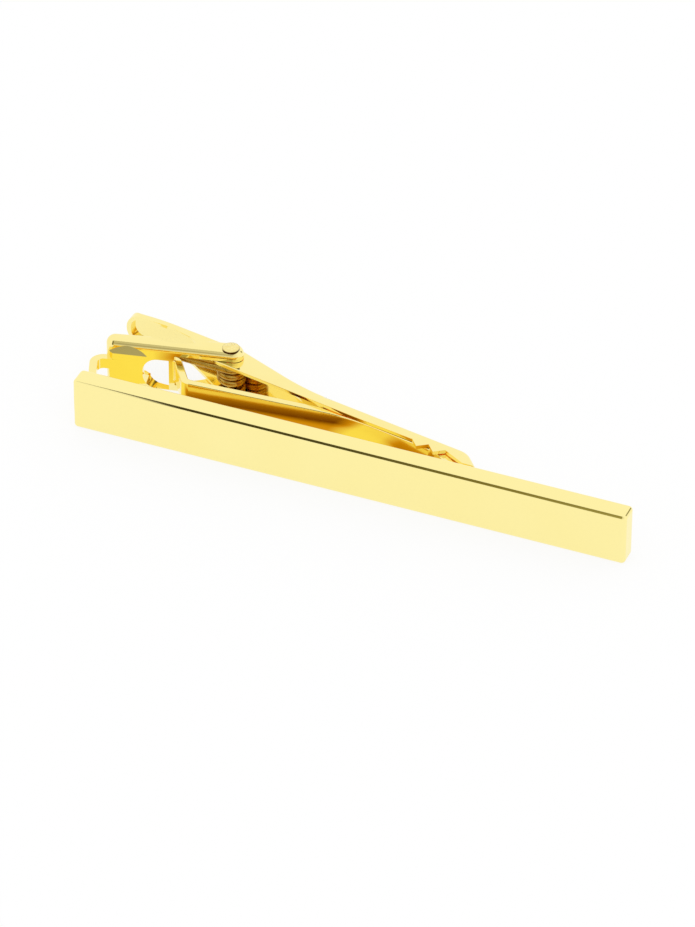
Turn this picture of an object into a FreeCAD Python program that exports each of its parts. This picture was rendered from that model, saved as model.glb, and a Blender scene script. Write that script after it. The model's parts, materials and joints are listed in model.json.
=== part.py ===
import FreeCAD, Part

import math
import os

# Tie clip: a polished bar, and behind it a spring jaw riveted to a stamped base.
# Millimetres. X runs along the bar from its left end, Y goes back from the bar's rear face
# and Z goes up from the bar's lower edge. At the end all pieces are moved together, so that
# the origin lies under the middle of the clip.

# Bar
bar_length = 60.0
bar_thickness = 2.3
bar_height = 5.9
bar_edge_round = 0.44

# Solder that joins the base to the bar
solder_thickness = 0.12
solder_margin = 0.25

# Torsion spring: its coil sets the room inside the jaw
wire_diameter = 0.41
coil_radius = 1.3           # to the middle of the wire
coil_pitch = 0.89
coil_turns = 2.5
coil_steps = 10
coil_side_gap = 0.06        # to each cheek of the jaw
coil_back_gap = 0.08        # to the jaw's back
base_leg_gap = 0.05         # to the base, where the leg bears on it
base_leg_inset = 4.3        # from the leg's end to the plate's end
jaw_leg_inset = 6.4         # from the leg's end to the tray's end

# Rivet, with a low domed head above and its lower end spread flush in the base
pivot_along = 13.12         # along the plate, from the bar's left end
pivot_behind = 0.85         # behind the plate's near face
shank_radius = 0.6
head_radius = 0.9
head_height = 0.32
head_rim = 0.18
sink_radius = 0.85
sink_depth = 0.3
running_clearance = 0.04
side_clearance = 0.05

# Base: one pressing with a thumb plate, two ears, a tongue and a foot. It stands level with the bar's
# lower edge, and its flanges fill the height that the jaw leaves.
base_sheet = 0.8
base_top_gap = 0.1          # from the bar's upper edge down to the base's
base_edge_round = 0.75
plate_stand = 5.48          # from the bar's rear face to the plate, at the bar's left end
plate_angle = 12.35         # degrees between the plate and the bar
plate_start = 0.1
plate_corner = 0.9
plate_near_corner = 0.9
plate_flange = 1.85         # the flanges' width at the thumb end
ear_end = 1.3               # past the rivet's axis, along the plate
ear_back = 1.55             # behind the rivet's axis
ear_near_corner = 1.0
ear_far_corner = 1.3
waist_width = 0.85          # what the waist leaves of the flanges
waist_start = 3.4
waist_end_gap = 1.8         # from the waist's end to the rivet's axis
window_start = 4.0
window_low = 0.35           # from the base's lower edge
window_high = 4.04
window_corner = 1.6
root_start = 6.75           # upright beside the window, which carries the tongue
root_width = 0.6

# Nail scoop in the plate's upper edge
scoop_start = 0.3
scoop_width = 4.2
scoop_height = 1.08
scoop_edge_gap = 0.45       # from the scoop's top to the flange's outer face
scoop_depth = 0.76

# Tongue: a bowed strip from the plate to the bar, between the jaw's cheeks
tongue_side_gap = 0.1
tongue_rest_gap = 0.15      # to the jaw's back, when the jaw is shut
tongue_root_bend = 0.35
tongue_heel_run = 2.22
tongue_heel_stand = 3.83
tongue_heel_bend = 1.3
tongue_rise_angle = 3.3
tongue_crest_bend = 22.0
tongue_knee_x = 37.5
tongue_knee_bend = 3.0
tongue_landing_x = 41.5
tongue_landing_bend = 3.0
tongue_flat = 3.3
tongue_edge_round = 0.13

# Foot: a narrow tab that curls from the plate's end to the bar
foot_width = 1.2
foot_reach = 1.75           # how far the curl's corner stands out past the bar's left end
foot_landing_x = 0.5
foot_upper_bend = 1.4
foot_lower_bend = 1.2
foot_root_x = 1.6
foot_end_x = 3.8

# Jaw: one stamped channel with a thumb tray and a toothed tip. Runs are along the bar from the
# rivet's axis, and drops are from the axis towards the bar.
jaw_sheet = 0.4
jaw_bend_round = 0.5
tray_lean = 11.0            # degrees between the tray and the bar
tray_length = 13.2
tray_dip = 0.5              # how far the tray's end comes down from its straight part
tray_dip_length = 4.2
tray_dip_bend = 25.0
tray_end_flat = 0.1         # left straight in the middle of the tray's round end
tray_rim = 0.5
tray_rim_depth = 0.9
tray_rim_length = 4.95
shoulder_run = 0.6
shoulder_bend = 3.0
arm_bow_run = 9.26
arm_bow_drop = 1.845
arm_bow_bend = 30.0
nose_run = 28.36
nose_drop = 5.595
nose_bend = 2.2
tip_run = 29.76
tip_drop = 7.295
tip_thickness = 0.36
tip_flat = 1.2
jaw_ear_radius = 1.1
cheek_root_run = 5.17
cheek_root_depth = 1.26
cheek_bend = 1.5
cheek_front_run = 2.38
cheek_front_drop = 1.865
cheek_bow = 0.075            # how far the cheek's edge bows towards the bar
cheek_bow_share = 0.695     # and where, between the rivet and the teeth
cheek_bow_bend = 40.0
cheek_edge_round = 0.1      # from the tray's rim to the first tooth
tip_length = 3.6            # from the last tooth's root to the tip
tooth_line_rise = 1.55      # from the tip's rear face back to the first tooth's root
tooth_count = 2
tooth_pitch = 1.9
tooth_lead = 0.83            # from a tooth's root to its point
tooth_depth = 0.88
tooth_line_slope = 0.14

tray_slope = math.radians(tray_lean)
base_height = bar_height - base_top_gap
middle = base_height / 2
ear_width = pivot_behind + ear_back


def at(x, y, z=0.0):
    return FreeCAD.Vector(x, y, z)


def heading(start, end):
    return (end - start).normalize()


def left_of(direction):
    return at(-direction.y, direction.x)


def turn_side(points, index):
    before = heading(points[index - 1], points[index])
    after = heading(points[index], points[index + 1])
    return 1.0 if before.cross(after).z > 0 else -1.0


def offset_points(points, distance):
    moved = []
    last = len(points) - 1
    for index, point in enumerate(points):
        before = left_of(heading(points[max(index - 1, 0)], points[max(index, 1)]))
        after = left_of(heading(points[min(index, last - 1)], points[min(index + 1, last)]))
        moved.append(point + (before + after) * (distance / (1 + before.dot(after))))
    return moved


def rounded_run(points, radii):
    # Straight runs joined by tangent arcs, with one radius for each point between the ends.
    edges = []
    start = points[0]
    for index, radius in enumerate(radii, 1):
        corner = points[index]
        first = corner
        second = corner
        if radius > 0:
            before = heading(points[index - 1], corner)
            after = heading(corner, points[index + 1])
            half_turn = before.getAngle(after) / 2
            first = corner - before * (radius * math.tan(half_turn))
            second = corner + after * (radius * math.tan(half_turn))
            inward = (after - before).normalize()
            crown = corner + inward * (radius / math.cos(half_turn) - radius)
        edges.append(Part.LineSegment(start, first).toShape())
        if radius > 0:
            edges.append(Part.Arc(first, crown, second).toShape())
        start = second
    edges.append(Part.LineSegment(start, points[-1]).toShape())
    return edges


def rounded_loop(points, radii):
    # A closed outline, begun halfway along the side before its first corner.
    begin = (points[-1] + points[0]) * 0.5
    return rounded_run([begin] + points + [begin], radii)


def plan_solid(edges, low, high):
    solid = Part.Face(Part.Wire(edges)).extrude(at(0, 0, high - low))
    solid.translate(at(0, 0, low))
    return solid


def strip(points, radii, thickness, low, high):
    # A bent strip standing on edge, to the left of the line through the points.
    far_points = offset_points(points, thickness)
    far_radii = [r - turn_side(points, i) * thickness for i, r in enumerate(radii, 1)]
    near_side = rounded_run(points, radii)
    far_side = rounded_run(far_points[::-1], far_radii[::-1])
    end = Part.LineSegment(points[-1], far_points[-1]).toShape()
    start = Part.LineSegment(far_points[0], points[0]).toShape()
    return plan_solid(near_side + [end] + far_side + [start], low, high)


def upright_solid(edges, start_y, depth):
    # An outline drawn with heights in place of Y, stood up and pushed back along Y.
    solid = Part.Face(Part.Wire(edges)).extrude(at(0, 0, -depth))
    solid.rotate(at(0, 0), at(1, 0), 90)
    solid.translate(at(0, start_y))
    return solid


def level_edges(solid, heights):
    chosen = []
    for edge in solid.Edges:
        box = edge.BoundBox
        if any(abs(box.ZMin - h) < 1e-4 and abs(box.ZMax - h) < 1e-4 for h in heights):
            chosen.append(edge)
    return chosen


def edges_above(run, edges):
    # Those of the level edges that lie over a run drawn in plan.
    run_wire = Part.Wire(run)
    chosen = []
    for edge in edges:
        centre = edge.valueAt((edge.FirstParameter + edge.LastParameter) / 2)
        if run_wire.distToShape(Part.Vertex(centre.x, centre.y, 0))[0] < 1e-4:
            chosen.append(edge)
    return chosen


def on_plate(shape):
    # From the plate's own frame (along it, behind its near face) to the clip's frame.
    shape.rotate(at(0, 0), at(0, 0, 1), plate_angle)
    shape.translate(at(0, plate_stand))
    return shape


def plate_point(along, behind=0.0):
    return on_plate(Part.Vertex(along, behind, 0)).Point


def crossing(first, first_heading, second, second_heading):
    # Where two lines in plan meet.
    across = left_of(second_heading)
    return first + first_heading * ((second - first).dot(across) / first_heading.dot(across))


pivot = plate_point(pivot_along, pivot_behind)


def from_pivot(run, drop):
    return pivot + at(run, -drop)


def tray_back(run):
    # The tray's rear face, tangent to the room that the coil needs.
    room = coil_radius + wire_diameter / 2 + coil_back_gap + jaw_sheet
    return pivot + at(run, room / math.cos(tray_slope) - run * math.tan(tray_slope))


def tray_end():
    return tray_back(-tray_length) - at(0, tray_dip)


def jaw_back_points():
    return [
        tray_end(),
        tray_back(tray_dip_length - tray_length),
        tray_back(shoulder_run),
        from_pivot(arm_bow_run, arm_bow_drop),
        from_pivot(nose_run, nose_drop),
        from_pivot(tip_run, tip_drop),
    ]


def tongue_points():
    # The face towards the bar: it climbs from the heel to the jaw, follows it and then turns to the bar.
    root = plate_point(root_start + root_width)
    heel = at(root.x + tongue_heel_run, tongue_heel_stand)
    climb = math.radians(tongue_rise_angle)
    arm = jaw_back_points()[3:5]
    fall = heading(arm[0], arm[1])
    under_arm = arm[0] - left_of(fall) * (jaw_sheet + tongue_rest_gap + base_sheet)
    crest = crossing(heel, at(math.cos(climb), math.sin(climb)), under_arm, fall)
    knee = crossing(under_arm, fall, at(tongue_knee_x, 0), at(0, 1))
    landing = at(tongue_landing_x, solder_thickness)
    return [plate_point(root_start), root, heel, crest, knee, landing, landing + at(tongue_flat, 0)]


def base_leg_slope():
    # The leg is tangent to the coil on one side, and passes the upright's rear corner on the other.
    apart = pivot - plate_point(root_start + root_width, base_sheet)
    beside = coil_radius + base_leg_gap + wire_diameter / 2
    return math.atan2(apart.y, apart.x) - math.asin(beside / apart.Length)


# Heights, from the coil outwards: coil, jaw, flanges
coil_start_angle = base_leg_slope() - math.pi / 2
coil_sweep = coil_turns * 2 * math.pi - math.pi / 2 - tray_slope - coil_start_angle
coil_drop = coil_pitch * coil_sweep / (2 * math.pi)
jaw_half = (coil_drop + wire_diameter) / 2 + coil_side_gap + jaw_sheet
flange_sheet = middle - jaw_half - side_clearance
jaw_low = middle - jaw_half
jaw_high = middle + jaw_half
tongue_half = jaw_half - jaw_sheet - tongue_side_gap
tooth_start_run = tip_run - tip_length - tooth_count * tooth_pitch


def through_base(radius, centre):
    return Part.makeCylinder(radius, base_height, centre)


def make_front_bar():
    bar = Part.makeBox(bar_length, bar_thickness, bar_height, at(0, -bar_thickness))
    return bar.makeFillet(bar_edge_round, bar.Edges)


def make_plate_channel(end):
    outline = [at(plate_start, plate_flange), at(plate_start, 0), at(end, 0), at(end, ear_width)]
    radii = [plate_corner, plate_near_corner, ear_near_corner, ear_far_corner]
    block = plan_solid(rounded_loop(outline, radii), 0, base_height)
    block = block.makeFillet(base_edge_round, level_edges(block, (0, base_height)))
    inside = base_height - 2 * flange_sheet
    corner = at(-end / 2, base_sheet, flange_sheet)
    hollow = Part.makeBox(end * 2, ear_width * 2, inside, corner)
    return block.cut(hollow)


def make_plate_cuts(end):
    through = base_sheet * 3
    opening = [
        at(window_start, window_high),
        at(window_start, window_low),
        at(root_start, window_low),
        at(root_start, window_high),
    ]
    window_edges = rounded_loop(opening, [window_corner, window_corner, 0, 0])
    window = upright_solid(window_edges, -base_sheet, through)
    past_root = at(root_start + root_width, -base_sheet, flange_sheet)
    after_root = Part.makeBox(end, through, base_height - 2 * flange_sheet, past_root)
    span = (pivot_along - waist_end_gap - waist_start) / 2
    depth = ear_width - waist_width
    waist_radius = (span ** 2 + depth ** 2) / (2 * depth)
    waist = through_base(waist_radius, at(waist_start + span, waist_width + waist_radius))
    return [window, after_root, waist, make_scoop()]


def make_scoop():
    # A half-moon facet that leans back from its straight lower edge.
    top = base_height - scoop_edge_gap
    crease = top - scoop_height
    left = at(scoop_start, crease)
    right = at(scoop_start + scoop_width, crease)
    crown = at(scoop_start + scoop_width / 2, top)
    moon = [Part.Arc(left, crown, right).toShape(), Part.LineSegment(right, left).toShape()]
    moon_solid = upright_solid(moon, -scoop_depth, scoop_depth * 3)
    lean = [
        at(0, 0, crease),
        at(0, scoop_depth, top),
        at(0, -scoop_depth, top),
        at(0, -scoop_depth, crease),
    ]
    wedge = Part.Face(Part.makePolygon(lean + lean[:1])).extrude(at(scoop_width * 2, 0))
    return moon_solid.common(wedge)


def make_tongue():
    bends = [tongue_heel_bend, tongue_crest_bend, tongue_knee_bend, tongue_landing_bend]
    low = middle - tongue_half
    high = middle + tongue_half
    tongue = strip(tongue_points(), [tongue_root_bend] + bends, base_sheet, low, high)
    return tongue.makeFillet(tongue_edge_round, level_edges(tongue, (low, high)))


def make_foot():
    line = [
        plate_point(foot_root_x, base_sheet),
        at(-foot_reach, plate_point(-foot_reach, base_sheet).y),
        at(foot_landing_x, solder_thickness),
        at(foot_end_x, solder_thickness),
    ]
    low = middle - foot_width / 2
    return strip(line, [foot_upper_bend, foot_lower_bend], base_sheet, low, low + foot_width)


def make_clip_base():
    end = pivot_along + ear_end
    channel = make_plate_channel(end)
    for cutter in make_plate_cuts(end):
        channel = channel.cut(cutter)
    base = on_plate(channel).fuse([make_tongue(), make_foot()]).removeSplitter()
    sink = Part.makeCone(sink_radius, shank_radius, sink_depth, pivot)
    return base.cut(through_base(shank_radius, pivot)).cut(sink)


def make_pivot_rivet():
    # Half the side view, from the spread lower end to the crown of the head.
    top = base_height + head_height
    rise = head_height - head_rim
    dome_radius = (head_radius ** 2 + rise ** 2) / (2 * rise)
    half_angle = math.asin(head_radius / dome_radius) / 2
    crown = at(dome_radius * math.sin(half_angle), 0, top - dome_radius * (1 - math.cos(half_angle)))
    rim = at(head_radius, 0, base_height + head_rim)
    side = Part.makePolygon([
        at(0, 0, top),
        at(0, 0),
        at(sink_radius, 0),
        at(shank_radius, 0, sink_depth),
        at(shank_radius, 0, base_height),
        at(head_radius, 0, base_height),
        rim,
    ])
    dome = Part.Arc(rim, crown, at(0, 0, top)).toShape()
    rivet = Part.Face(Part.Wire(side.Edges + [dome])).revolve(at(0, 0), at(0, 0, 1), 360)
    rivet.translate(pivot)
    return rivet


def tooth_root(run):
    return from_pivot(run, tip_drop - tooth_line_rise + tooth_line_slope * (run - tooth_start_run))


def jaw_tooth_points():
    # From the tip back to the first tooth, as a zigzag.
    points = [
        from_pivot(tip_run, tip_drop + tip_thickness),
        from_pivot(tip_run - tip_flat, tip_drop + tip_thickness),
    ]
    for index in range(tooth_count, 0, -1):
        root_run = tooth_start_run + index * tooth_pitch
        points.append(tooth_root(root_run))
        points.append(tooth_root(root_run - tooth_pitch + tooth_lead) - at(0, tooth_depth))
    points.append(tooth_root(tooth_start_run))
    return points


def jaw_cheek_points():
    # The cheek's near edge, its corner round the rivet, then the tray's rim.
    front = from_pivot(cheek_front_run, cheek_front_drop)
    mid = front + (tooth_root(tooth_start_run) - front) * cheek_bow_share - at(0, cheek_bow)
    edge = heading(mid, front)
    corner = front + edge * ((pivot - front).dot(edge) + jaw_ear_radius)
    return [
        mid,
        corner,
        tray_back(-cheek_root_run) - at(0, cheek_root_depth),
        tray_back(tray_rim_length - tray_length) - at(0, tray_rim_depth),
        tray_end() - at(0, tray_rim_depth),
    ]


def tray_outline(inset, low, high):
    # The channel seen from behind, with the tray's rounded end.
    end_x = pivot.x - tray_length + inset
    far_x = pivot.x + tip_run + tip_flat
    points = [at(end_x, high), at(end_x, low), at(far_x, low), at(far_x, high)]
    corner = jaw_half - tray_end_flat / 2 - inset
    return upright_solid(rounded_loop(points, [corner, corner, 0, 0]), 0, 2 * tray_end().y)


def make_jaw_lever():
    back = jaw_back_points()
    back_radii = [tray_dip_bend, shoulder_bend, arm_bow_bend, nose_bend]
    back_run = rounded_run(back, back_radii)
    teeth = jaw_tooth_points()
    tooth_run = Part.makePolygon([back[-1]] + teeth).Edges
    cheek = jaw_cheek_points()
    cheek_run = rounded_run(teeth[-1:] + cheek, [cheek_bow_bend, jaw_ear_radius, cheek_bend, cheek_bend])
    end = Part.LineSegment(cheek[-1], back[0]).toShape()
    block = plan_solid(back_run + tooth_run + cheek_run + [end], jaw_low, jaw_high)
    for run, radius in ((cheek_run, cheek_edge_round), (back_run, jaw_bend_round)):
        block = block.makeFillet(radius, edges_above(run, level_edges(block, (jaw_low, jaw_high))))
    block = block.common(tray_outline(0, jaw_low, jaw_high))
    holes = through_base(shank_radius + running_clearance, pivot)
    return block.cut(make_jaw_hollow(back, back_radii)).cut(holes)


def make_jaw_hollow(back, back_radii):
    # The channel's inside: it stops at the tray's rim and runs out at the tip.
    low = jaw_low + jaw_sheet
    high = jaw_high - jaw_sheet
    run_out = heading(back[-2], back[-1]) * tip_flat
    inner = offset_points(back[:-1] + [back[-1] + run_out], -jaw_sheet)
    radii = [r + turn_side(back, i) * jaw_sheet for i, r in enumerate(back_radii, 1)]
    mouth = Part.makePolygon([inner[-1], at(inner[-1].x, 0), at(inner[0].x, 0), inner[0]])
    hollow = plan_solid(rounded_run(inner, radii) + mouth.Edges, low, high)
    return hollow.common(tray_outline(tray_rim, low, high))


def arc_between(start, corner, end):
    # The arc that leaves start towards the corner and reaches end, with equal tangents.
    chord_middle = (start + end) * 0.5
    rise = corner - chord_middle
    half_chord = (end - start).Length / 2
    sagitta = half_chord * math.tan(math.atan2(rise.Length, half_chord) / 2)
    return Part.Arc(start, chord_middle + rise.normalize() * sagitta, end).toShape()


def biarc(start, start_heading, end, end_heading):
    chord = end - start
    square = 2 * (1 - start_heading.dot(end_heading))
    linear = chord.dot(start_heading + end_heading)
    length = (math.sqrt(linear ** 2 + square * chord.dot(chord)) - linear) / square
    first_corner = start + start_heading * length
    second_corner = end - end_heading * length
    joint = (first_corner + second_corner) * 0.5
    return [arc_between(start, first_corner, joint), arc_between(joint, second_corner, end)]


def spring_path():
    # From the leg on the base, down round the rivet, to the leg along the tray.
    lead = math.atan2(coil_pitch / (2 * math.pi), coil_radius)
    points = []
    headings = []
    for step in range(coil_steps + 1):
        share = step / coil_steps
        angle = coil_start_angle + coil_sweep * share
        out = at(math.cos(angle), math.sin(angle))
        dip = lead if 0 < step < coil_steps else 0.0
        points.append(pivot + out * coil_radius + at(0, 0, middle + coil_drop * (0.5 - share)))
        headings.append(left_of(out) * math.cos(dip) - at(0, 0, math.sin(dip)))
    base_leg = pivot_along - plate_start - base_leg_inset
    jaw_leg = tray_length - jaw_leg_inset
    edges = [Part.LineSegment(points[0] - headings[0] * base_leg, points[0]).toShape()]
    for index in range(coil_steps):
        edges += biarc(points[index], headings[index], points[index + 1], headings[index + 1])
    edges.append(Part.LineSegment(points[-1], points[-1] + headings[-1] * jaw_leg).toShape())
    return edges


def least_self_gap(edges):
    # Points along the middle of the wire, compared where they are over half a turn apart along it.
    spacing = wire_diameter / 10
    points = []
    for edge in edges:
        points += edge.discretize(Number=max(3, round(edge.Length / spacing)))[:-1]
    apart = int(math.pi * coil_radius / spacing)
    pairs = ((i, j) for i in range(len(points)) for j in range(i + apart, len(points)))
    return min((points[i] - points[j]).Length for i, j in pairs) - wire_diameter


def make_torsion_spring():
    edges = spring_path()
    path = Part.Wire(edges)
    start = edges[0].valueAt(edges[0].FirstParameter)
    ring = Part.makeCircle(wire_diameter / 2, start, edges[0].tangentAt(edges[0].FirstParameter))
    spring = path.makePipeShell([Part.Wire(ring)], True, False)
    tube = math.pi * wire_diameter ** 2 / 4 * path.Length
    print("spring: least gap to itself %.3f mm" % least_self_gap(edges))
    print("spring: volume %.4f, section times length %.4f" % (spring.Volume, tube))
    return spring


def make_solder(start_x, end_x, width):
    low = middle - width / 2 - solder_margin
    length = end_x - start_x + 2 * solder_margin
    height = width + 2 * solder_margin
    pad = Part.makeBox(length, solder_thickness, height, at(start_x - solder_margin, 0, low))
    short = [edge for edge in pad.Edges if abs(edge.Length - solder_thickness) < 1e-6]
    return pad.makeFillet(solder_margin, short)


def build():
    foot_start = foot_landing_x + foot_lower_bend / 2
    landing, tongue_end = tongue_points()[-2:]
    pieces = {
        "front_bar": make_front_bar(),
        "clip_base": make_clip_base(),
        "jaw_lever": make_jaw_lever(),
        "pivot_rivet": make_pivot_rivet(),
        "torsion_spring": make_torsion_spring(),
        "foot_solder": make_solder(foot_start, foot_end_x, foot_width),
        "tongue_solder": make_solder(landing.x + base_sheet, tongue_end.x, 2 * tongue_half),
    }
    box = Part.makeCompound(list(pieces.values())).optimalBoundingBox(False)
    to_origin = at(-(box.XMin + box.XMax) / 2, -(box.YMin + box.YMax) / 2, -box.ZMin)
    os.makedirs("parts", exist_ok=True)
    for name, shape in pieces.items():
        shape.translate(to_origin)
        shape.exportStep(os.path.join("parts", name + ".step"))
        state = (name, len(shape.Solids), shape.isValid(), shape.Volume)
        print("%s: %d solid, valid %s, volume %.3f" % state)
    print("size %.3f x %.3f x %.3f" % (box.XLength, box.YLength, box.ZLength))
    print("moved by %.4f %.4f %.4f" % (to_origin.x, to_origin.y, to_origin.z))
    print("pivot at %.4f %.4f" % (pivot.x + to_origin.x, pivot.y + to_origin.y))


build()
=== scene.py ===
import json
import math

import bpy
from mathutils import Matrix, Vector


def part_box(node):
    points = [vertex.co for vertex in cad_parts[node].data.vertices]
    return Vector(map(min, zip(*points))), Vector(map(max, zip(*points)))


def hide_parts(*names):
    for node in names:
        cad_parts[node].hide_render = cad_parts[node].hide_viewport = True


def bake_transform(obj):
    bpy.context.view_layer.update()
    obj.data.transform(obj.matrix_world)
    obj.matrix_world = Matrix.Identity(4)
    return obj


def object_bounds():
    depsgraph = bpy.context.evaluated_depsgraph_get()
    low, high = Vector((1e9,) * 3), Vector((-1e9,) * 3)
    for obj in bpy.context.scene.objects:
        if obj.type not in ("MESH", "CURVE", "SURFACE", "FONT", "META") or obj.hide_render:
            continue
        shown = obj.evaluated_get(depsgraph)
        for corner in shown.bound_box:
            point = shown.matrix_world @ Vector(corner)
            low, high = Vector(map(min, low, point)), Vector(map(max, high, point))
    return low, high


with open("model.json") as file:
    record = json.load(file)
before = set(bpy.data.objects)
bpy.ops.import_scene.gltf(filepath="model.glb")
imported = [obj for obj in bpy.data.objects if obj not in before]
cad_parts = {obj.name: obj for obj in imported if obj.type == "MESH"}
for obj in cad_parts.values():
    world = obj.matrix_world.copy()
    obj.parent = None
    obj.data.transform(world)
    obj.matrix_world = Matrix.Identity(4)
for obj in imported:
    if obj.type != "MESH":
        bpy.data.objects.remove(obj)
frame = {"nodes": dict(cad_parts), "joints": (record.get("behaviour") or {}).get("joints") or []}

cadLow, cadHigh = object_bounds()
nodes = frame["nodes"]
hinge = next(joint for joint in frame["joints"] if joint["name"] == "jaw_open")
barLow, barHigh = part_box("front_bar")
barCentre = (barLow + barHigh) / 2
millimetre = 0.001
# a Mix node's sockets when it mixes colours
mixShare, mixFirst, mixSecond, mixResult = 0, 6, 7, 2
print("frame loaded:", ", ".join(sorted(nodes)))


def hexColour(code):
    # sRGB hex to the linear colour that a shader takes
    parts = [int(code[start:start + 2], 16) / 255 for start in (1, 3, 5)]
    linear = [part / 12.92 if part <= 0.04045 else ((part + 0.055) / 1.055) ** 2.4 for part in parts]
    return (*linear, 1.0)


def perSize(size):
    # texture scale for a pattern of this size in mm, on Object coordinates in metres
    return 1 / (size * millimetre)


def addNode(tree, kind, inputs=None, **settings):
    node = tree.nodes.new(kind)
    for name, value in settings.items():
        setattr(node, name, value)
    for name, value in (inputs or {}).items():
        if isinstance(value, bpy.types.NodeSocket):
            tree.links.new(value, node.inputs[name])
        else:
            node.inputs[name].default_value = value
    return node


def startMaterial(name):
    material = bpy.data.materials.new(name)
    material.use_nodes = True
    tree = material.node_tree
    tree.nodes.clear()
    return material, tree


def addRamp(tree, value, unit, stops):
    # a tone or a grey at each stop, whose place is in this unit
    low, high = stops[0][0], stops[-1][0]
    along = addNode(tree, "ShaderNodeMapRange", {
        "Value": value, "From Min": low * unit, "From Max": high * unit})
    ramp = addNode(tree, "ShaderNodeValToRGB", {"Fac": along.outputs["Result"]})
    marks = ramp.color_ramp.elements
    while len(marks) < len(stops):
        marks.new(0.5)           # anywhere, since each mark is put in its place below
    for mark, (place, shade) in zip(marks, stops):
        mark.position = (place - low) / (high - low)
        mark.color = hexColour(shade) if isinstance(shade, str) else (shade, shade, shade, 1.0)
    return ramp.outputs["Color"]


def finishPlate(tree, look, tone, wear, height, depth):
    # plated metal, rougher where it is worn, on a surface that rises with height by up to depth mm
    worn = addNode(tree, "ShaderNodeMapRange", {
        "Value": wear, "From Min": look["wearBand"][0], "From Max": look["wearBand"][1],
        "To Min": look["roughness"][0], "To Max": look["roughness"][1]})
    bump = addNode(tree, "ShaderNodeBump", {
        "Strength": look["bumpStrength"], "Distance": depth * millimetre, "Height": height})
    shader = addNode(tree, "ShaderNodeBsdfPrincipled", {
        "Base Color": tone, "Metallic": 1.0, "Roughness": worn.outputs["Result"],
        "Normal": bump.outputs["Normal"]})
    addNode(tree, "ShaderNodeOutputMaterial", {"Surface": shader.outputs["BSDF"]})


# Gold plate over brass, buffed to a mirror: pale yellow where it sees white, deep gold where it sees
# itself, with a faint waviness left by the buffing wheel and hairlines along its strokes.
# Sizes here and in the other plates are in mm.
mirrorPlate = {
    "tone": "#FFF2AA",
    "deepTone": "#FEEFA2",
    "toneSize": 9.0,             # cloudy change of the plate's tone
    "waveSize": 5.0,             # buffing waves
    "waveHeight": 0.0011,
    "hairlineWidth": 0.05,       # drawn coarser than real ones so that they show
    "hairlineLength": 14.0,
    "hairlineTurn": 0.0,         # degrees, picks the part of the noise that the hairlines come from
    "bumpStrength": 1.0,
    "wearBand": (0.45, 0.8),     # noise values over which the plate goes from smooth to rough
    "roughness": (0.03, 0.085),
}

# Gold plate on pressed brass sheet: tumbled bright and not buffed, so its reflections are softer,
# with shallow press waves and a grain of tumbling marks.
pressedPlate = {
    "tone": "#FFF1A8",
    "deepTone": "#FCEA9A",
    "toneSize": 4.0,
    "waveSize": 2.2,
    "waveHeight": 0.0016,
    "hairlineWidth": 0.07,
    "hairlineLength": 2.5,
    "hairlineTurn": 12.0,
    "bumpStrength": 1.0,
    "wearBand": (0.45, 0.8),
    "roughness": (0.05, 0.15),
}


def makeMirrorPlate(name, look):
    material, tree = startMaterial(name)
    place = addNode(tree, "ShaderNodeTexCoord").outputs["Object"]
    cloud = addNode(tree, "ShaderNodeTexNoise", {
        "Vector": place, "Scale": perSize(look["toneSize"]), "Detail": 2.0})
    tone = addNode(tree, "ShaderNodeMix", {
        mixShare: cloud.outputs["Fac"], mixFirst: hexColour(look["tone"]),
        mixSecond: hexColour(look["deepTone"])}, data_type="RGBA")
    acrossStroke = perSize(look["hairlineWidth"])
    strokes = addNode(tree, "ShaderNodeMapping", {
        "Vector": place, "Rotation": (0.0, 0.0, math.radians(look["hairlineTurn"])),
        "Scale": (perSize(look["hairlineLength"]), acrossStroke, acrossStroke)})
    hairlines = addNode(tree, "ShaderNodeTexNoise", {
        "Vector": strokes.outputs["Vector"], "Scale": 1.0, "Detail": 3.0, "Roughness": 0.6})
    wave = addNode(tree, "ShaderNodeTexNoise", {
        "Vector": place, "Scale": perSize(look["waveSize"]), "Detail": 1.0})
    finishPlate(tree, look, tone.outputs[mixResult], hairlines.outputs["Fac"], wave.outputs["Fac"],
                look["waveHeight"])
    return material


# Rivet head, upset cold by a hammer tool and plated with the rest: small flats that break up the light, and
# painted shade round the foot of the head.
rivetPlate = {
    "tone": "#FFF1A8",
    "deepTone": "#F2DA88",
    "seamDarkTone": "#4A2E08",       # painted shade round the foot of the head
    # how clear of that painted shade the plate is, by mm from the floor
    "clearOfSeamDark": ((5.6, 1.0), (5.7, 0.0), (5.96, 0.0), (6.0, 1.0)),
    "dentSize": 0.3,
    "dentHeight": 0.13,
    "grainSize": 0.12,
    "bumpStrength": 0.6,
    "wearBand": (0.3, 0.7),
    "roughness": (0.1, 0.26),
}

# Solder that flowed and froze before plating: a slightly lumpy skin, greyer and softer than the sheet.
solderPlate = {
    "tone": "#EAD38A",
    "deepTone": "#CDB273",
    "seamDarkTone": "#8A6A2A",       # darker along its lower edge
    "clearOfSeamDark": ((1.4, 0.0), (1.9, 1.0)),
    "dentSize": 0.7,
    "dentHeight": 0.05,
    "grainSize": 0.2,
    "bumpStrength": 0.6,
    "wearBand": (0.3, 0.7),
    "roughness": (0.16, 0.34),
}


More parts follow.
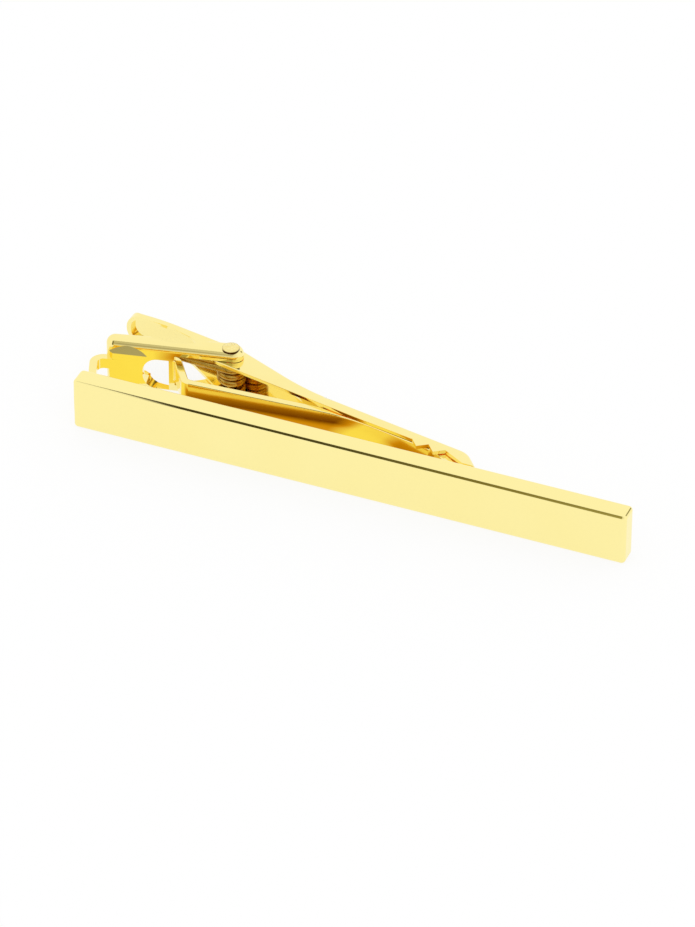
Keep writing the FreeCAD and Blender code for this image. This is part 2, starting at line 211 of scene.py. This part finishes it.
def makeDentedPlate(name, look):
    material, tree = startMaterial(name)
    place = addNode(tree, "ShaderNodeTexCoord").outputs["Object"]
    dents = addNode(tree, "ShaderNodeTexVoronoi", {
        "Vector": place, "Scale": perSize(look["dentSize"]), "Smoothness": 0.6}, feature="SMOOTH_F1")
    dent = dents.outputs["Distance"]
    grain = addNode(tree, "ShaderNodeTexNoise", {
        "Vector": place, "Scale": perSize(look["grainSize"]), "Detail": 3.0})
    plate = addNode(tree, "ShaderNodeMix", {
        mixShare: dent, mixFirst: hexColour(look["tone"]),
        mixSecond: hexColour(look["deepTone"])}, data_type="RGBA")
    axes = addNode(tree, "ShaderNodeSeparateXYZ", {"Vector": place})
    # darker band by height in the seam tone: painted shade round the foot of the rivet head, and darker
    # along the solder's lower edge
    tone = addNode(tree, "ShaderNodeMix", {
        mixShare: addRamp(tree, axes.outputs["Z"], millimetre, look["clearOfSeamDark"]),
        mixFirst: hexColour(look["seamDarkTone"]), mixSecond: plate.outputs[mixResult]}, data_type="RGBA")
    finishPlate(tree, look, tone.outputs[mixResult], grain.outputs["Fac"], dent, look["dentHeight"])
    return material


# Hard-drawn spring wire, plated in the barrel after winding: a duller, deeper gold than the sheet,
# cloudy in tone, with faint die lines round the coil.
springPlate = {
    "tone": "#DDBE62",
    "deepTone": "#A87E2C",
    "toneSize": 0.9,
    "lineSize": 0.09,            # die lines, drawn coarser than real ones so that they show
    "lineHeight": 0.0008,
    "bumpStrength": 0.5,
    "wearBand": (0.3, 0.7),
    "roughness": (0.25, 0.37),
}


def makeSpringPlate(name, look):
    material, tree = startMaterial(name)
    place = addNode(tree, "ShaderNodeTexCoord").outputs["Object"]
    cloud = addNode(tree, "ShaderNodeTexNoise", {
        "Vector": place, "Scale": perSize(look["toneSize"]), "Detail": 3.0})
    tone = addNode(tree, "ShaderNodeMix", {
        mixShare: cloud.outputs["Fac"], mixFirst: hexColour(look["tone"]),
        mixSecond: hexColour(look["deepTone"])}, data_type="RGBA")
    alongLine = perSize(look["toneSize"])
    dieLines = addNode(tree, "ShaderNodeMapping", {
        "Vector": place, "Scale": (alongLine, alongLine, perSize(look["lineSize"]))})
    drawn = addNode(tree, "ShaderNodeTexNoise", {
        "Vector": dieLines.outputs["Vector"], "Scale": 1.0, "Detail": 2.0}).outputs["Fac"]
    finishPlate(tree, look, tone.outputs[mixResult], drawn, drawn, look["lineHeight"])
    return material


finishes = {
    "front_bar": makeMirrorPlate("mirrorGoldPlateOnBrass", mirrorPlate),
    "clip_base": makeMirrorPlate("brightGoldPlateOnPressedBrass", pressedPlate),
    "pivot_rivet": makeDentedPlate("goldPlatedUpsetRivet", rivetPlate),
    "torsion_spring": makeSpringPlate("goldPlatedSpringWire", springPlate),
    "foot_solder": makeDentedPlate("goldPlatedSolder", solderPlate),
}
finishes["jaw_lever"] = finishes["clip_base"]
finishes["tongue_solder"] = finishes["foot_solder"]
for name, node in nodes.items():
    node.data.materials.clear()
    node.data.materials.append(finishes[name])
print("materials:", ", ".join(sorted(material.name for material in set(finishes.values()))))

# Torsion spring: full-thickness wire in the room that the jaw leaves round the rivet. Millimetres, degrees.
spring = {
    "wire": 0.74,
    "outerRadius": 1.505,
    "pitch": 0.795,
    "startAngle": -92.79,        # where the leg on the base meets the coil
    "sweep": 891.79,             # from there down to the leg on the jaw
    "baseLeg": 8.72,
    "jawLeg": 6.8,
    "ringPoints": 20,
    "stepsPerTurn": 56,
    "ringReach": 1.01,           # wire radii from a ring's centre that take in all its points
    "smoothAngle": 40.0,
}


def selectRing(mesh, centre, reach):
    for vertex in mesh.vertices:
        vertex.select = (vertex.co - centre).length < reach


def makeSpring(look):
    wireRadius = look["wire"] / 2 * millimetre
    coilRadius = look["outerRadius"] * millimetre - wireRadius
    start = math.radians(look["startAngle"])
    sweep = math.radians(look["sweep"])
    turns = look["sweep"] / 360
    drop = look["pitch"] * turns * millimetre
    axis = Vector(hinge["pos_m"])
    bpy.ops.object.select_all(action="DESELECT")
    bpy.ops.mesh.primitive_circle_add(
        vertices=look["ringPoints"], radius=wireRadius, fill_type="NOTHING", rotation=(math.pi / 2, 0, 0))
    piece = bpy.context.object
    piece.name = "springCoil"
    bpy.ops.object.transform_apply(location=False, rotation=True, scale=False)
    bpy.ops.object.mode_set(mode="EDIT")
    bpy.ops.mesh.select_all(action="SELECT")
    bpy.ops.transform.translate(value=(coilRadius, 0, 0))
    bpy.ops.object.mode_set(mode="OBJECT")
    bpy.ops.object.modifier_add(type="SCREW")
    screw = piece.modifiers[-1]
    screw.angle = sweep
    screw.screw_offset = -drop
    screw.steps = screw.render_steps = round(look["stepsPerTurn"] * turns)
    screw.use_normal_calculate = True
    bpy.ops.object.modifier_apply(modifier=screw.name)
    # each end of the coil runs straight on as a leg, then closes
    ends = [
        (Vector((coilRadius, 0, 0)), Vector((0, -1, 0)), look["baseLeg"]),
        (Vector((coilRadius * math.cos(sweep), coilRadius * math.sin(sweep), -drop)),
         Vector((-math.sin(sweep), math.cos(sweep), 0)), look["jawLeg"]),
    ]
    for centre, heading, length in ends:
        bpy.ops.object.mode_set(mode="EDIT")
        bpy.ops.mesh.select_mode(type="VERT")
        bpy.ops.mesh.select_all(action="DESELECT")
        bpy.ops.object.mode_set(mode="OBJECT")
        selectRing(piece.data, centre, wireRadius * look["ringReach"])
        bpy.ops.object.mode_set(mode="EDIT")
        bpy.ops.mesh.extrude_region_move(TRANSFORM_OT_translate={"value": heading * (length * millimetre)})
        bpy.ops.mesh.edge_face_add()
        bpy.ops.object.mode_set(mode="OBJECT")
    bpy.ops.object.mode_set(mode="EDIT")
    bpy.ops.mesh.select_all(action="SELECT")
    bpy.ops.mesh.normals_make_consistent(inside=False)
    bpy.ops.object.mode_set(mode="OBJECT")
    piece.rotation_euler = (0, 0, start)
    piece.location = axis + Vector((0, 0, drop / 2))
    bpy.ops.object.transform_apply(location=True, rotation=True, scale=False)
    bpy.ops.object.shade_smooth_by_angle(angle=math.radians(look["smoothAngle"]))
    piece.data.materials.append(finishes["torsion_spring"])
    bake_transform(piece)
    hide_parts("torsion_spring")


makeSpring(spring)
print("spring wound")

# Light tent: white all round, with a white floor that keeps the clip's shadow. Millimetres.
tent = {
    "tone": "#FFFFFF",
    "strength": 1.0,
    "floorSize": 1600.0,
    "floorGlow": 0.85,           # how much of the floor is plain white to the camera
    "floorMirrorGlow": 0.92,     # and in the metal
}


def makeTent(look):
    white = hexColour(look["tone"])
    world = bpy.data.worlds.new("lightTent")
    bpy.context.scene.world = world
    world.use_nodes = True
    background = world.node_tree.nodes["Background"]
    background.inputs["Color"].default_value = white
    background.inputs["Strength"].default_value = look["strength"]
    bpy.ops.object.select_all(action="DESELECT")
    bpy.ops.mesh.primitive_plane_add(size=look["floorSize"] * millimetre, location=(0, 0, cadLow.z))
    floor = bpy.context.object
    floor.name = "paleFloor"
    material, tree = startMaterial("whiteTable")
    path = addNode(tree, "ShaderNodeLightPath")
    mirrored = addNode(tree, "ShaderNodeMath", {
        0: path.outputs["Is Glossy Ray"], 1: path.outputs["Is Transmission Ray"]}, operation="MAXIMUM")
    dimmed = addNode(tree, "ShaderNodeMath", {
        0: mirrored.outputs["Value"], 1: look["floorMirrorGlow"]}, operation="MULTIPLY")
    share = addNode(tree, "ShaderNodeMath", {
        0: path.outputs["Is Camera Ray"], 1: look["floorGlow"],
        2: dimmed.outputs["Value"]}, operation="MULTIPLY_ADD")
    paper = addNode(tree, "ShaderNodeBsdfDiffuse", {"Color": white})
    lit = addNode(tree, "ShaderNodeEmission", {"Color": white, "Strength": look["strength"]})
    both = addNode(tree, "ShaderNodeMixShader", {
        0: share.outputs["Value"], 1: paper.outputs["BSDF"], 2: lit.outputs["Emission"]})
    addNode(tree, "ShaderNodeOutputMaterial", {"Surface": both.outputs["Shader"]})
    floor.data.materials.append(material)
    return floor


def viewAxes(azimuth, elevation):
    # right, up and back for a viewer who looks at the bar from this direction
    across, lift = math.radians(azimuth), math.radians(elevation)
    back = Vector((math.sin(across) * math.cos(lift), -math.cos(across) * math.cos(lift), math.sin(lift)))
    right = Vector((math.cos(across), math.sin(across), 0))
    return right, back.cross(right), back


def facing(right, up, back, place):
    turn = Matrix((right, up, back)).transposed().to_4x4()
    return Matrix.Translation(place) @ turn


def addPlane(name, width, height, matrix):
    bpy.ops.mesh.primitive_plane_add(size=1)
    plane = bpy.context.object
    plane.name = name
    plane.data.transform(matrix @ Matrix.Diagonal((width, height, 1, 1)))
    return plane


def lightSheets(sheets, material, tree, tone):
    # sheets that glow in this tone and are seen only in the metal
    glow = addNode(tree, "ShaderNodeEmission", {"Color": tone, "Strength": 1.0})
    addNode(tree, "ShaderNodeOutputMaterial", {"Surface": glow.outputs["Emission"]})
    for sheet in sheets:
        sheet.data.materials.append(material)
        sheet.visible_camera = sheet.visible_diffuse = sheet.visible_shadow = False


# Grey panel, upright in front: the dark line along the bar's edge and the olive band of the flange.
# Millimetres, degrees.
frontPanel = {
    "distance": 420.0,
    "azimuths": (-40.0, 70.0),
    "top": 74.0,
    # tones by the sideways share of a sight line from the bar's middle (-1 left along the bar, 1 right)
    "tones": (
        (-0.6, "#FFFFFF"), (-0.378, "#FFFFFF"), (-0.366, "#3E381E"), (-0.31, "#4D482D"),
        (-0.26, "#7E7544"), (-0.2, "#A29C6E"), (-0.05, "#A39E89"), (0.0, "#B0AB97"),
        (0.06, "#C0BCA9"), (0.2, "#D6D3C6"), (0.9, "#FFFFFF"),
    ),
    "paleTone": "#FFFFFF",
    # how far they pale, by degrees of elevation, and the sideways share over which that sets in
    "paling": (
        (-6.0, 0.7), (0.0, 0.65), (22.0, 0.55), (30.0, 0.08), (37.0, 0.1), (46.0, 0.55), (72.0, 0.8),
    ),
    "palingEdge": ((-0.2, 0.0), (0.0, 1.0)),
}


def makePanel(look):
    leftmost, rightmost = look["azimuths"]
    right, up, back = viewAxes((leftmost + rightmost) / 2, 0)
    distance = look["distance"] * millimetre
    width = 2 * distance * math.tan(math.radians(rightmost - leftmost) / 2)
    height = distance * math.tan(math.radians(look["top"]))
    middle = Vector((barCentre.x, barCentre.y, cadLow.z + height / 2)) + back * distance
    panel = addPlane("frontPanel", width, height, facing(right, up, back, middle))
    material, tree = startMaterial("greyPanel")
    place = addNode(tree, "ShaderNodeTexCoord")
    fromBar = addNode(tree, "ShaderNodeVectorMath", {
        0: place.outputs["Object"], 1: barCentre}, operation="SUBTRACT").outputs["Vector"]
    axes = addNode(tree, "ShaderNodeSeparateXYZ", {"Vector": fromBar})
    reach = addNode(tree, "ShaderNodeVectorMath", {0: fromBar}, operation="LENGTH").outputs["Value"]
    sideways = addNode(tree, "ShaderNodeMath", {
        0: axes.outputs["X"], 1: reach}, operation="DIVIDE").outputs["Value"]
    sine = addNode(tree, "ShaderNodeMath", {0: axes.outputs["Z"], 1: reach}, operation="DIVIDE")
    elevation = addNode(tree, "ShaderNodeMath", {0: sine.outputs["Value"]}, operation="ARCSINE")
    pale = addNode(tree, "ShaderNodeMath", {
        0: addRamp(tree, sideways, 1.0, look["palingEdge"]),
        1: addRamp(tree, elevation.outputs["Value"], math.radians(1), look["paling"])}, operation="MULTIPLY")
    paled = addNode(tree, "ShaderNodeMix", {
        mixShare: pale.outputs["Value"], mixFirst: addRamp(tree, sideways, 1.0, look["tones"]),
        mixSecond: hexColour(look["paleTone"])}, data_type="RGBA")
    lightSheets([panel], material, tree, paled.outputs[mixResult])
    return panel


# Small grey card far behind on the right: a thin line in the bar's right end and in the ear.
# Millimetres, degrees.
sideCard = {
    "tone": "#9A967E",
    "azimuth": 145.0,
    "elevation": 17.0,
    "distance": 420.0,
    "size": (110.0, 190.0),
}


def makeSideCard(look):
    right, up, back = viewAxes(look["azimuth"], look["elevation"])
    width, height = (size * millimetre for size in look["size"])
    middle = barCentre + back * (look["distance"] * millimetre)
    side = addPlane("sideCard", width, height, facing(right, up, back, middle))
    material, tree = startMaterial("greyCard")
    lightSheets([side], material, tree, hexColour(look["tone"]))
    return side


# Card of painted shade on the floor behind the bar, with a lip turned up against the bar. It glows, seen
# only in the metal, in place of the shaded floor in the gap: painted gold bounce light and painted brown
# shade that the tongue and the thumb plate show between the bar and themselves.
paintedGapShadeCard = {
    # painted gold bounce light at 0, painted brown shade at 1
    "tones": ((0.0, "#FFEE78"), (0.45, "#D0900C"), (1.0, "#6A3600")),
    # share of painted brown shade, by mm along the bar
    "bands": (
        (-4.5, 0.0), (5.0, 0.0), (8.5, 0.8), (14.0, 0.95), (24.2, 1.0), (25.8, 0.05), (28.4, 0.1),
        (30.4, 0.6), (42.0, 0.75),
    ),
    # and by mm back from the bar; below 0 is the lip
    "depths": (
        (-0.85, 0.15), (-0.44, 0.2), (-0.24, 0.7), (0.0, 0.85), (0.8, 1.0), (1.1, 0.75), (1.5, 0.45),
        (5.2, 0.2),
    ),
    "gap": 0.02,                 # to the floor and to the bar
}


def makePaintedGapShadeCard(look):
    left, right = look["bands"][0][0] * millimetre, look["bands"][-1][0] * millimetre
    lipHeight, depth = -look["depths"][0][0] * millimetre, look["depths"][-1][0] * millimetre
    gap = look["gap"] * millimetre
    card = addPlane("paintedGapShadeCard", right - left, depth, Matrix.Translation(((left + right) / 2, depth / 2, 0)))
    upright = facing(*viewAxes(0, 0), Vector((right / 2, 0, lipHeight / 2)))
    lip = addPlane("paintedGapShadeCardLip", right, lipHeight, upright)
    for sheet in (card, lip):
        sheet.location = (barLow.x, barHigh.y + gap, cadLow.z + gap)
    material, tree = startMaterial("paintedGapShadeCard")
    place = addNode(tree, "ShaderNodeTexCoord")
    axes = addNode(tree, "ShaderNodeSeparateXYZ", {"Vector": place.outputs["Object"]})
    fromFold = addNode(tree, "ShaderNodeMath", {
        0: axes.outputs["Y"], 1: axes.outputs["Z"]}, operation="SUBTRACT")
    shade = addNode(tree, "ShaderNodeMath", {
        0: addRamp(tree, axes.outputs["X"], millimetre, look["bands"]),
        1: addRamp(tree, fromFold.outputs["Value"], millimetre, look["depths"])}, operation="MULTIPLY")
    lightSheets([card, lip], material, tree, addRamp(tree, shade.outputs["Value"], 1.0, look["tones"]))
    return card, lip


floor = makeTent(tent)
panel = makePanel(frontPanel)
side = makeSideCard(sideCard)
card, lip = makePaintedGapShadeCard(paintedGapShadeCard)
print("studio set")

# Camera: angles in degrees, lengths in mm, imageHeight in pixels. Offsets are from the bar's middle.
view = {
    "azimuth": 22.444,
    "elevation": 36.434,
    "roll": 0.247,
    "distance": 600.0,
    "acrossOffset": -0.151,
    "upOffset": 0.192,
    "pixelsPerMm": 9.954,
    "imageHeight": 927,
    "sensorWidth": 36.0,
    "clip": (10.0, 10000.0),
}


def makeCamera(look):
    right, up, back = viewAxes(look["azimuth"], look["elevation"])
    roll = math.radians(look["roll"])
    right, up = right * math.cos(roll) + up * math.sin(roll), up * math.cos(roll) - right * math.sin(roll)
    aim = barCentre + (right * look["acrossOffset"] + up * look["upOffset"]) * millimetre
    lens = bpy.data.cameras.new("photoCamera")
    camera = bpy.data.objects.new("photoCamera", lens)
    bpy.context.scene.collection.objects.link(camera)
    camera.matrix_world = facing(right, up, back, aim + back * look["distance"] * millimetre)
    lens.sensor_width = look["sensorWidth"]
    lens.lens = look["pixelsPerMm"] * look["distance"] / look["imageHeight"] * look["sensorWidth"]
    lens.clip_start, lens.clip_end = (reach * millimetre for reach in look["clip"])
    bpy.context.scene.camera = camera


makeCamera(view)
bpy.context.scene.view_settings.view_transform = "Standard"
# light crosses the narrow gap between plated faces many times
bpy.context.scene.cycles.max_bounces = 24
bpy.context.scene.cycles.glossy_bounces = 20
print("camera set")
